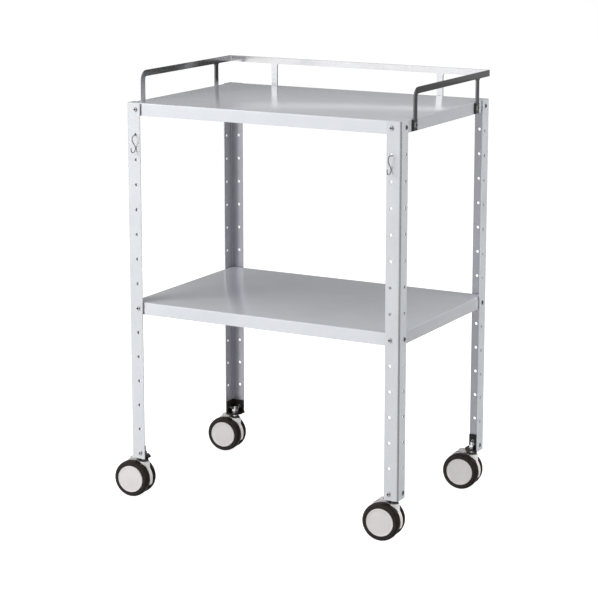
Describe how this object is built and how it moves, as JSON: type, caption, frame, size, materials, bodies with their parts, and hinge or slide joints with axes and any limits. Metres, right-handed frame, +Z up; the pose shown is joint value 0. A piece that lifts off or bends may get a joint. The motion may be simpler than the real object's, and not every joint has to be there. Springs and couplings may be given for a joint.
{
  "type": "utility cart",
  "caption": "Stainless steel utility cart with a top and a lower tray on drilled angle posts, a guard rail, S-hooks and braked twin-wheel casters.",
  "frame": {"origin": "the middle of the floor under the standing cart, its trailing casters and hooks included, at floor level", "axes": "+Z up, -Y towards the open front of the top tray where the hooks hang, +X to the right seen from the front"},
  "size_m": [0.6438, 0.4248, 0.8645],
  "materials": {
    "post_steel": "polished stainless steel",
    "tray_steel": "satin stainless steel",
    "rail_steel": "polished stainless plate",
    "screw_steel": "plain stainless spacers, screws and nuts",
    "saddle_plastic": "black plastic",
    "bracket_paint": "satin black paint",
    "stem_zinc": "bright zinc plate",
    "ring_plastic": "dark grey plastic",
    "housing_plastic": "smooth warm white plastic",
    "axle_steel": "bright steel",
    "pedal_plastic": "dark grey plastic",
    "tyre_rubber": "dark brown-grey tread",
    "core_plastic": "warm white plastic",
    "cap_plastic": "smooth warm white plastic",
    "hook_steel": "bright wire"
  },
  "bodies": {
    "frame": {"post_front_left": "post_steel", "post_front_right": "post_steel", "post_rear_right": "post_steel", "post_rear_left": "post_steel", "top_shelf": "tray_steel", "lower_shelf": "tray_steel", "guard_rail": "rail_steel", "rail_saddles": "saddle_plastic", "tray_spacers": "screw_steel", "caster_bracket_front_left": "bracket_paint", "caster_bracket_front_right": "bracket_paint", "caster_bracket_rear_right": "bracket_paint", "caster_bracket_rear_left": "bracket_paint", "caster_stems": "stem_zinc", "dust_rings": "ring_plastic"},
    "caster_front_left": {"caster_housing_front_left": "housing_plastic", "axle_front_left": "axle_steel"},
    "wheel_front_left_near": {"tyre_front_left_near": "tyre_rubber", "wheel_front_left_near": "core_plastic", "wheel_cap_front_left_near": "cap_plastic"},
    "wheel_front_left_far": {"tyre_front_left_far": "tyre_rubber", "wheel_front_left_far": "core_plastic", "wheel_cap_front_left_far": "cap_plastic"},
    "brake_front_left": {"brake_pedal_front_left": "pedal_plastic"},
    "caster_front_right": {"caster_housing_front_right": "housing_plastic", "axle_front_right": "axle_steel"},
    "wheel_front_right_near": {"tyre_front_right_near": "tyre_rubber", "wheel_front_right_near": "core_plastic", "wheel_cap_front_right_near": "cap_plastic"},
    "wheel_front_right_far": {"tyre_front_right_far": "tyre_rubber", "wheel_front_right_far": "core_plastic", "wheel_cap_front_right_far": "cap_plastic"},
    "brake_front_right": {"brake_pedal_front_right": "pedal_plastic"},
    "caster_rear_right": {"caster_housing_rear_right": "housing_plastic", "axle_rear_right": "axle_steel"},
    "wheel_rear_right_near": {"tyre_rear_right_near": "tyre_rubber", "wheel_rear_right_near": "core_plastic", "wheel_cap_rear_right_near": "cap_plastic"},
    "wheel_rear_right_far": {"tyre_rear_right_far": "tyre_rubber", "wheel_rear_right_far": "core_plastic", "wheel_cap_rear_right_far": "cap_plastic"},
    "brake_rear_right": {"brake_pedal_rear_right": "pedal_plastic"},
    "caster_rear_left": {"caster_housing_rear_left": "housing_plastic", "axle_rear_left": "axle_steel"},
    "wheel_rear_left_near": {"tyre_rear_left_near": "tyre_rubber", "wheel_rear_left_near": "core_plastic", "wheel_cap_rear_left_near": "cap_plastic"},
    "wheel_rear_left_far": {"tyre_rear_left_far": "tyre_rubber", "wheel_rear_left_far": "core_plastic", "wheel_cap_rear_left_far": "cap_plastic"},
    "brake_rear_left": {"brake_pedal_rear_left": "pedal_plastic"},
    "hook_left": {"s_hook_left": "hook_steel"},
    "hook_right": {"s_hook_right": "hook_steel"}
  },
  "joints": [
    {"name": "front_left_swivel", "type": "hinge", "parent": "frame", "child": "caster_front_left", "pos_m": [-0.26325, -0.17707, 0.078], "axis": [0, 0, 1], "continuous": true},
    {"name": "front_left_near_roll", "type": "hinge", "parent": "caster_front_left", "child": "wheel_front_left_near", "pos_m": [-0.28317, -0.17881, 0.0375], "axis": [-0.0872, 0.9962, 0], "continuous": true},
    {"name": "front_left_far_roll", "type": "hinge", "parent": "caster_front_left", "child": "wheel_front_left_far", "pos_m": [-0.28317, -0.17881, 0.0375], "axis": [-0.0872, 0.9962, 0], "continuous": true},
    {"name": "front_left_brake", "type": "hinge", "parent": "caster_front_left", "child": "brake_front_left", "pos_m": [-0.2772, -0.17829, 0.077], "axis": [0.0872, -0.9962, 0], "range_deg": [0, 8]},
    {"name": "front_right_swivel", "type": "hinge", "parent": "frame", "child": "caster_front_right", "pos_m": [0.30275, -0.17707, 0.078], "axis": [0, 0, 1], "continuous": true},
    {"name": "front_right_near_roll", "type": "hinge", "parent": "caster_front_right", "child": "wheel_front_right_near", "pos_m": [0.28283, -0.17881, 0.0375], "axis": [-0.0872, 0.9962, 0], "continuous": true},
    {"name": "front_right_far_roll", "type": "hinge", "parent": "caster_front_right", "child": "wheel_front_right_far", "pos_m": [0.28283, -0.17881, 0.0375], "axis": [-0.0872, 0.9962, 0], "continuous": true},
    {"name": "front_right_brake", "type": "hinge", "parent": "caster_front_right", "child": "brake_front_right", "pos_m": [0.2888, -0.17829, 0.077], "axis": [0.0872, -0.9962, 0], "range_deg": [0, 8]},
    {"name": "rear_right_swivel", "type": "hinge", "parent": "frame", "child": "caster_rear_right", "pos_m": [0.30275, 0.18893, 0.078], "axis": [0, 0, 1], "continuous": true},
    {"name": "rear_right_near_roll", "type": "hinge", "parent": "caster_rear_right", "child": "wheel_rear_right_near", "pos_m": [0.28283, 0.18719, 0.0375], "axis": [-0.0872, 0.9962, 0], "continuous": true},
    {"name": "rear_right_far_roll", "type": "hinge", "parent": "caster_rear_right", "child": "wheel_rear_right_far", "pos_m": [0.28283, 0.18719, 0.0375], "axis": [-0.0872, 0.9962, 0], "continuous": true},
    {"name": "rear_right_brake", "type": "hinge", "parent": "caster_rear_right", "child": "brake_rear_right", "pos_m": [0.2888, 0.18771, 0.077], "axis": [0.0872, -0.9962, 0], "range_deg": [0, 8]},
    {"name": "rear_left_swivel", "type": "hinge", "parent": "frame", "child": "caster_rear_left", "pos_m": [-0.26325, 0.18893, 0.078], "axis": [0, 0, 1], "continuous": true},
    {"name": "rear_left_near_roll", "type": "hinge", "parent": "caster_rear_left", "child": "wheel_rear_left_near", "pos_m": [-0.28317, 0.18719, 0.0375], "axis": [-0.0872, 0.9962, 0], "continuous": true},
    {"name": "rear_left_far_roll", "type": "hinge", "parent": "caster_rear_left", "child": "wheel_rear_left_far", "pos_m": [-0.28317, 0.18719, 0.0375], "axis": [-0.0872, 0.9962, 0], "continuous": true},
    {"name": "rear_left_brake", "type": "hinge", "parent": "caster_rear_left", "child": "brake_rear_left", "pos_m": [-0.2772, 0.18771, 0.077], "axis": [0.0872, -0.9962, 0], "range_deg": [0, 8]},
    {"name": "left_hook_swing", "type": "hinge", "parent": "frame", "child": "hook_left", "pos_m": [-0.26025, -0.19307, 0.7432], "axis": [-1, 0, 0], "range_deg": [0, 20]},
    {"name": "right_hook_swing", "type": "hinge", "parent": "frame", "child": "hook_right", "pos_m": [0.29975, -0.19307, 0.7432], "axis": [-1, 0, 0], "range_deg": [0, 20]}
  ]
}
